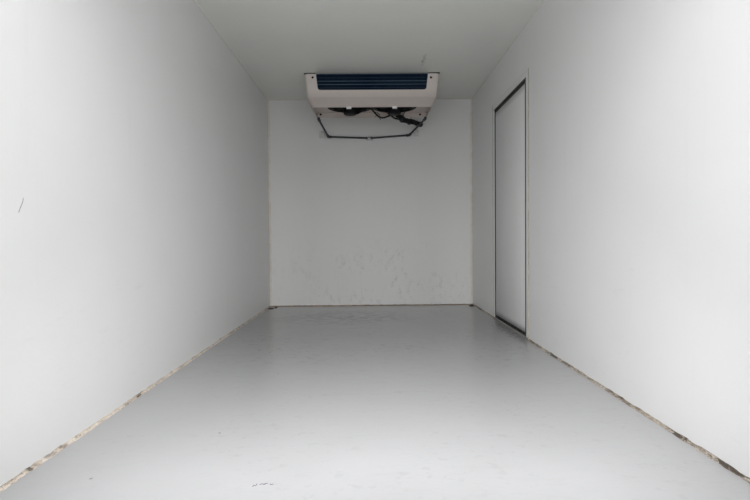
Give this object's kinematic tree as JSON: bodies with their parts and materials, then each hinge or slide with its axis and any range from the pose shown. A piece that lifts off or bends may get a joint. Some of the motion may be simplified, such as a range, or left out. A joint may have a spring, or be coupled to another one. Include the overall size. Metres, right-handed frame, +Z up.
{
  "type": "refrigerated truck load body",
  "caption": "Insulated box body for a refrigerated truck, with ceiling evaporator, nose condenser, hinged side door and double rear doors folded open.",
  "frame": {"origin": "middle of the whole body's box, on the ground under its bearers", "axes": "+X to the vehicle's right, +Y to its front, +Z up"},
  "size_m": [2.552, 4.796, 2.527],
  "materials": {
    "grp_white": "white gel-coated glass fibre, gloss",
    "rail_aluminium": "anodised, satin",
    "frame_steel": "stainless, brushed",
    "underframe_steel": "black underframe paint, satin",
    "hardware_steel": "zinc plated, satin",
    "unit_plastic": "light grey moulded plastic, satin",
    "unit_white": "white enamel, semi-gloss",
    "coil_fins": "blue-black coated fins",
    "dark_plastic": "black plastic, satin",
    "seal_rubber": "black rubber",
    "buffer_rubber": "black rubber, matt",
    "hose_rubber": "dark grey hose",
    "fitting_plastic": "whitish translucent plastic",
    "pipe_foam": "black foam sleeve on copper pipe",
    "sealant": "aged cream sealant",
    "lamp_lens": "clear, amber and red lenses",
    "wire_tape": "black cloth tape"
  },
  "bodies": {
    "body": {"floor_panel": "grp_white", "left_wall": "grp_white", "right_wall": "grp_white", "front_wall": "grp_white", "roof_panel": "grp_white", "floor_sealant": "sealant", "bearers": "underframe_steel", "cross_members": "underframe_steel", "mounting_brackets": "underframe_steel", "roof_rails": "rail_aluminium", "front_corner_posts": "rail_aluminium", "roof_corner_caps": "unit_white", "side_rails": "rail_aluminium", "rear_frame": "frame_steel", "hinge_brackets": "hardware_steel", "rubber_buffers": "buffer_rubber", "side_door_frame": "unit_white", "marker_lamps": "lamp_lens", "evaporator_housing": "unit_plastic", "evaporator_hangers": "hardware_steel", "evaporator_coil": "coil_fins", "evaporator_motors": "dark_plastic", "refrigerant_pipes": "pipe_foam", "drain_tubes": "hose_rubber", "drain_fittings": "fitting_plastic", "fan_wiring": "wire_tape", "condenser_housing": "unit_white", "condenser_coil": "coil_fins", "condenser_motors": "dark_plastic"},
    "side_door": {"side_door_leaf": "grp_white", "side_door_seal": "seal_rubber", "side_door_straps": "hardware_steel", "side_door_lock": "hardware_steel"},
    "rear_door_left": {"rear_door_left_leaf": "grp_white", "rear_door_left_seal": "seal_rubber", "rear_door_left_straps": "hardware_steel", "rear_door_left_lock": "hardware_steel"},
    "rear_door_right": {"rear_door_right_leaf": "grp_white", "rear_door_right_seal": "seal_rubber", "rear_door_right_straps": "hardware_steel", "rear_door_right_lock": "hardware_steel"},
    "evaporator_fan_left": {"evaporator_fan_left": "dark_plastic"},
    "evaporator_fan_right": {"evaporator_fan_right": "dark_plastic"},
    "condenser_fan_left": {"condenser_fan_left": "dark_plastic"},
    "condenser_fan_right": {"condenser_fan_right": "dark_plastic"}
  },
  "joints": [
    {"name": "rear_door_right_hinge", "type": "hinge", "parent": "body", "child": "rear_door_right", "pos_m": [1.152, -2.358, 1.3], "axis": [0, 0, 1], "range_deg": [-270, 0]},
    {"name": "rear_door_left_hinge", "type": "hinge", "parent": "body", "child": "rear_door_left", "pos_m": [-1.152, -2.358, 1.3], "axis": [0, 0, 1], "range_deg": [0, 270]},
    {"name": "side_door_hinge", "type": "hinge", "parent": "body", "child": "side_door", "pos_m": [1.17, 1.084, 1.3], "axis": [0, 0, 1], "range_deg": [0, 180]},
    {"name": "evaporator_fan_left_spin", "type": "hinge", "parent": "body", "child": "evaporator_fan_left", "pos_m": [-0.183, 1.415, 2.227], "axis": [0, 0, 1], "continuous": true},
    {"name": "evaporator_fan_right_spin", "type": "hinge", "parent": "body", "child": "evaporator_fan_right", "pos_m": [0.219, 1.415, 2.227], "axis": [0, 0, 1], "continuous": true},
    {"name": "condenser_fan_left_spin", "type": "hinge", "parent": "body", "child": "condenser_fan_left", "pos_m": [-0.27, 2.345, 2.15], "axis": [0, 1, 0], "continuous": true},
    {"name": "condenser_fan_right_spin", "type": "hinge", "parent": "body", "child": "condenser_fan_right", "pos_m": [0.27, 2.345, 2.15], "axis": [0, 1, 0], "continuous": true}
  ]
}
